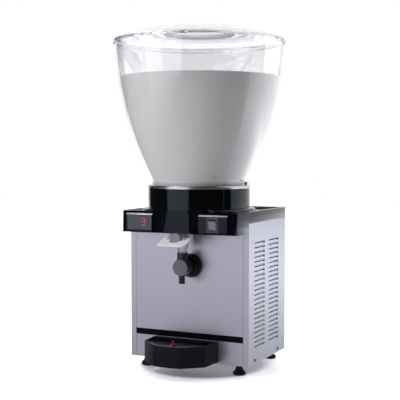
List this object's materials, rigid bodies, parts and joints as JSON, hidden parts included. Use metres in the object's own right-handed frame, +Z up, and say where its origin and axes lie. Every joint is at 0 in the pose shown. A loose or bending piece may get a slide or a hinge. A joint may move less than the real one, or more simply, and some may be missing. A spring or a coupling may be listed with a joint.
{
  "type": "cold drink dispenser",
  "caption": "Counter-top cold drink dispenser: tall clear bowl on a cooled base with a lever tap, a frother nozzle, a drip tray and screw feet.",
  "frame": {"origin": "the bowl's centre line at the level that the feet stand on", "axes": "+Z up, -Y towards the user (front panel, tap and tray), +X to the right as seen from the front"},
  "size_m": [0.3979, 0.398, 0.779],
  "materials": {
    "galvanised": "bare zinc coated sheet",
    "stainless": "brushed stainless sheet",
    "hood_black": "high gloss black moulding",
    "strip_black": "bare gloss black strip",
    "screw_black": "blackened screw",
    "foot_black": "black rubber",
    "display_window": "dark grey window",
    "display_red": "lit red segments",
    "key_grey": "grey keys",
    "switch_black": "black plastic",
    "rocker_grey": "grey rocker",
    "drum_black": "high gloss black moulding",
    "foam": "rigid foam",
    "bright_ring": "satin bright ring",
    "dome_steel": "polished stainless",
    "copper": "copper tube",
    "motor_grey": "grey motor case",
    "magnet": "ferrite and steel",
    "white_plastic": "white plastic",
    "pot_black": "black enamel",
    "rubber_black": "black rubber",
    "fins": "bare fins",
    "tap_grey": "mid grey plastic",
    "cover_satin": "satin dark grey",
    "lever_white": "white plastic",
    "spring_steel": "spring wire",
    "clear_tube": "milky clear tube",
    "frother_black": "black plastic",
    "frother_grey": "dark grey plastic",
    "tray_black": "black plastic",
    "float_red": "red plastic",
    "clear_bowl": "clear polycarbonate",
    "clear_lid": "clear polycarbonate",
    "seal_grey": "silicone seal",
    "milk_white": "white milk drink"
  },
  "bodies": {
    "cabinet": {"base_pan": "galvanised", "left_panel": "stainless", "right_panel": "stainless", "front_panel": "stainless", "rear_panel": "stainless", "top_plate": "galvanised", "top_hood": "hood_black", "front_strip": "strip_black", "panel_screws": "screw_black", "thermostat": "display_window", "display_digit": "display_red", "switch_frame": "switch_black", "drum": "drum_black", "drum_foam": "foam", "neck_ring": "bright_ring", "evaporator": "dome_steel", "cooling_coil": "copper", "stirrer_motor": "motor_grey", "compressor": "pot_black", "compressor_grommets": "rubber_black", "condenser": "fins", "fan_shroud": "tray_black", "fan_motor": "motor_grey", "filter_dryer": "copper", "suction_pipe": "copper", "liquid_pipe": "copper", "tap_body": "white_plastic", "tap_cap": "tap_grey", "tap_cover": "cover_satin", "spool_spring": "spring_steel", "outlet_tube": "clear_tube", "frother_flange": "frother_black", "frother_housing": "frother_black", "frother_cap": "frother_grey", "frother_motor": "motor_grey", "tray_bracket": "galvanised", "power_inlet": "switch_black", "bowl_seal": "seal_grey"},
    "foot_fl": {"foot_front_left": "foot_black"},
    "foot_fr": {"foot_front_right": "foot_black"},
    "foot_rl": {"foot_rear_left": "foot_black"},
    "foot_rr": {"foot_rear_right": "foot_black"},
    "set_key": {"key_set": "key_grey"},
    "up_key": {"key_up": "key_grey"},
    "down_key": {"key_down": "key_grey"},
    "light_key": {"key_light": "key_grey"},
    "rocker": {"switch_rocker": "rocker_grey"},
    "drive": {"drive_magnet": "magnet"},
    "stirrer": {"stirrer": "white_plastic"},
    "fan": {"fan_blades": "white_plastic"},
    "impeller": {"frother_impeller": "white_plastic"},
    "lever": {"tap_lever": "lever_white"},
    "spool": {"tap_spool": "rubber_black"},
    "tray": {"drip_tray": "tray_black"},
    "grille": {"tray_grille": "tray_black"},
    "float": {"tray_float": "float_red"},
    "bowl": {"bowl": "clear_bowl", "drink": "milk_white"},
    "lid": {"lid": "clear_lid"}
  },
  "joints": [
    {"name": "screw_foot_fl", "type": "slide", "parent": "cabinet", "child": "foot_fl", "axis": [0, 0, -1], "range_m": [0, 0.01]},
    {"name": "screw_foot_fr", "type": "slide", "parent": "cabinet", "child": "foot_fr", "axis": [0, 0, -1], "range_m": [0, 0.01]},
    {"name": "screw_foot_rl", "type": "slide", "parent": "cabinet", "child": "foot_rl", "axis": [0, 0, -1], "range_m": [0, 0.01]},
    {"name": "screw_foot_rr", "type": "slide", "parent": "cabinet", "child": "foot_rr", "axis": [0, 0, -1], "range_m": [0, 0.01]},
    {"name": "press_set_key", "type": "slide", "parent": "cabinet", "child": "set_key", "axis": [0, 1, 0], "range_m": [0, 0.0004], "stiffness_N_per_m": 400, "springref_m": -0.0004},
    {"name": "press_up_key", "type": "slide", "parent": "cabinet", "child": "up_key", "axis": [0, 1, 0], "range_m": [0, 0.0004], "stiffness_N_per_m": 400, "springref_m": -0.0004},
    {"name": "press_down_key", "type": "slide", "parent": "cabinet", "child": "down_key", "axis": [0, 1, 0], "range_m": [0, 0.0004], "stiffness_N_per_m": 400, "springref_m": -0.0004},
    {"name": "press_light_key", "type": "slide", "parent": "cabinet", "child": "light_key", "axis": [0, 1, 0], "range_m": [0, 0.0004], "stiffness_N_per_m": 400, "springref_m": -0.0004},
    {"name": "power_rocker", "type": "hinge", "parent": "cabinet", "child": "rocker", "pos_m": [0.0885, -0.1105, 0.343], "axis": [1, 0, 0], "range_deg": [-18, 0]},
    {"name": "drive_spin", "type": "hinge", "parent": "cabinet", "child": "drive", "pos_m": [0, 0, 0.6], "axis": [0, 0, 1], "continuous": true},
    {"name": "stirrer_spin", "type": "hinge", "parent": "cabinet", "child": "stirrer", "pos_m": [0, 0, 0.6], "axis": [0, 0, 1], "continuous": true},
    {"name": "fan_spin", "type": "hinge", "parent": "cabinet", "child": "fan", "pos_m": [0.075, 0.081, 0.134], "axis": [0, 1, 0], "continuous": true},
    {"name": "impeller_spin", "type": "hinge", "parent": "cabinet", "child": "impeller", "pos_m": [0.005, -0.09, 0.2445], "axis": [0, 1, 0], "continuous": true},
    {"name": "lever_press", "type": "hinge", "parent": "cabinet", "child": "lever", "pos_m": [0.005, -0.103, 0.31], "axis": [1, 0, 0], "range_deg": [0, 18], "stiffness_Nm_per_rad": 0.6, "springref_deg": -8.59},
    {"name": "spool_slide", "type": "slide", "parent": "cabinet", "child": "spool", "axis": [0, -1, 0], "range_m": [0, 0.0073], "deforming": ["spool_spring"]},
    {"name": "tray_pull", "type": "slide", "parent": "cabinet", "child": "tray", "axis": [0, -1, 0], "range_m": [0, 0.08]},
    {"name": "grille_lift", "type": "slide", "parent": "tray", "child": "grille", "axis": [0, 0, 1], "range_m": [0, 0.05]},
    {"name": "float_rise", "type": "slide", "parent": "tray", "child": "float", "axis": [0, 0, 1], "range_m": [0, 0.015]},
    {"name": "bowl_lift", "type": "slide", "parent": "cabinet", "child": "bowl", "axis": [0, 0, 1], "range_m": [0, 0.24]},
    {"name": "lid_lift", "type": "slide", "parent": "bowl", "child": "lid", "axis": [0, 0, 1], "range_m": [0, 0.12]}
  ],
  "couplings": [
    {"joint": "stirrer_spin", "follows": "drive_spin", "ratio": 1},
    {"joint": "spool_slide", "follows": "lever_press", "m_per_rad": 0.0231}
  ]
}
